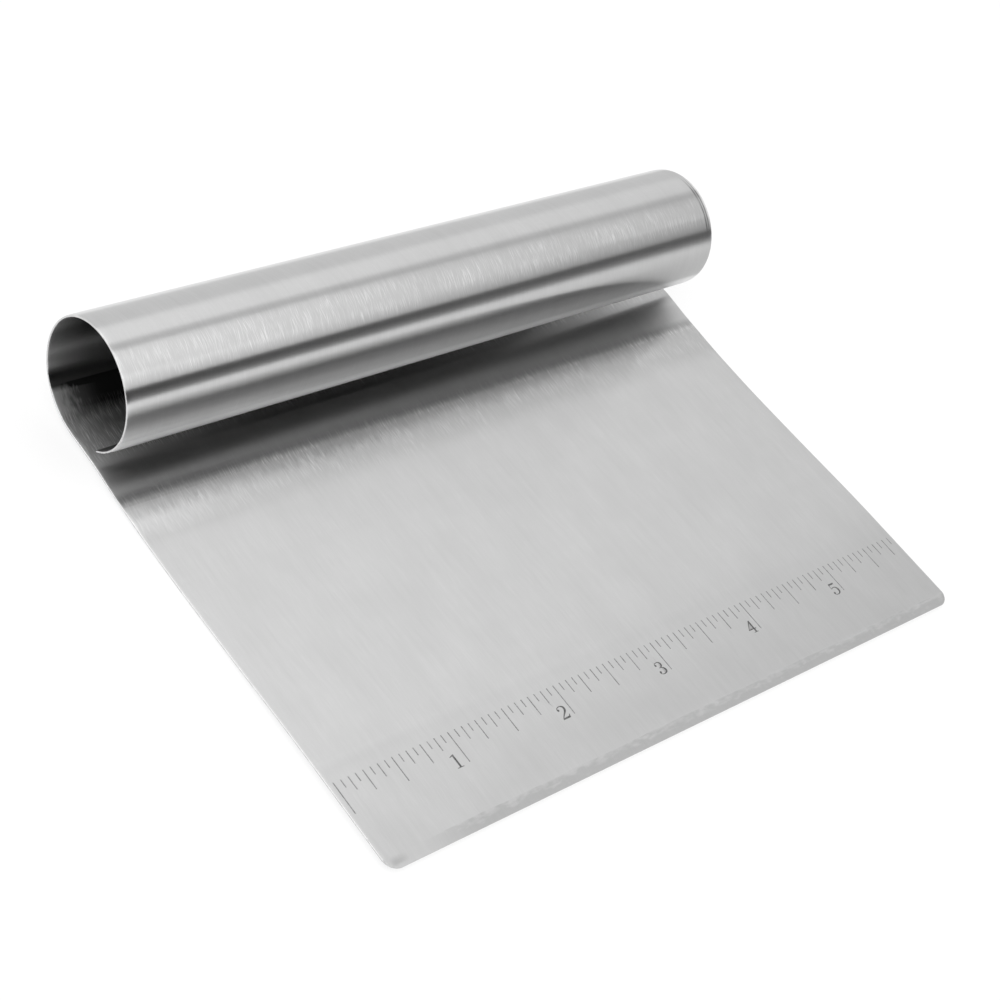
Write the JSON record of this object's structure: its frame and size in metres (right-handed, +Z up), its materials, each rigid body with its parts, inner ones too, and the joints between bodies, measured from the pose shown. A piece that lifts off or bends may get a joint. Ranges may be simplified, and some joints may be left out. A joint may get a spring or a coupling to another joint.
{
  "type": "dough scraper",
  "caption": "Stainless steel dough scraper: a flat blade with an etched inch scale and a ground edge, its back rolled up and forward into a tube handle.",
  "frame": {"origin": "on the plane of the blade's back, under the middle of the whole part's box", "axes": "+X along the rolled handle in the direction in which the scale counts, +Y from the cutting edge to the handle, +Z up out of the face with the scale"},
  "size_m": [0.1504, 0.1156, 0.0268],
  "materials": {
    "brushed_stainless": "brushed across the roll, from the handle to the cutting edge, satin",
    "black_etching": "dark etched marks, matte"
  },
  "bodies": {
    "root": {"steel_sheet": "brushed_stainless", "inch_lines": "black_etching", "half_inch_lines": "black_etching", "quarter_inch_lines": "black_etching", "eighth_inch_lines": "black_etching", "sixteenth_inch_lines": "black_etching", "numeral_1": "black_etching", "numeral_2": "black_etching", "numeral_3": "black_etching", "numeral_4": "black_etching", "numeral_5": "black_etching"}
  },
  "joints": []
}
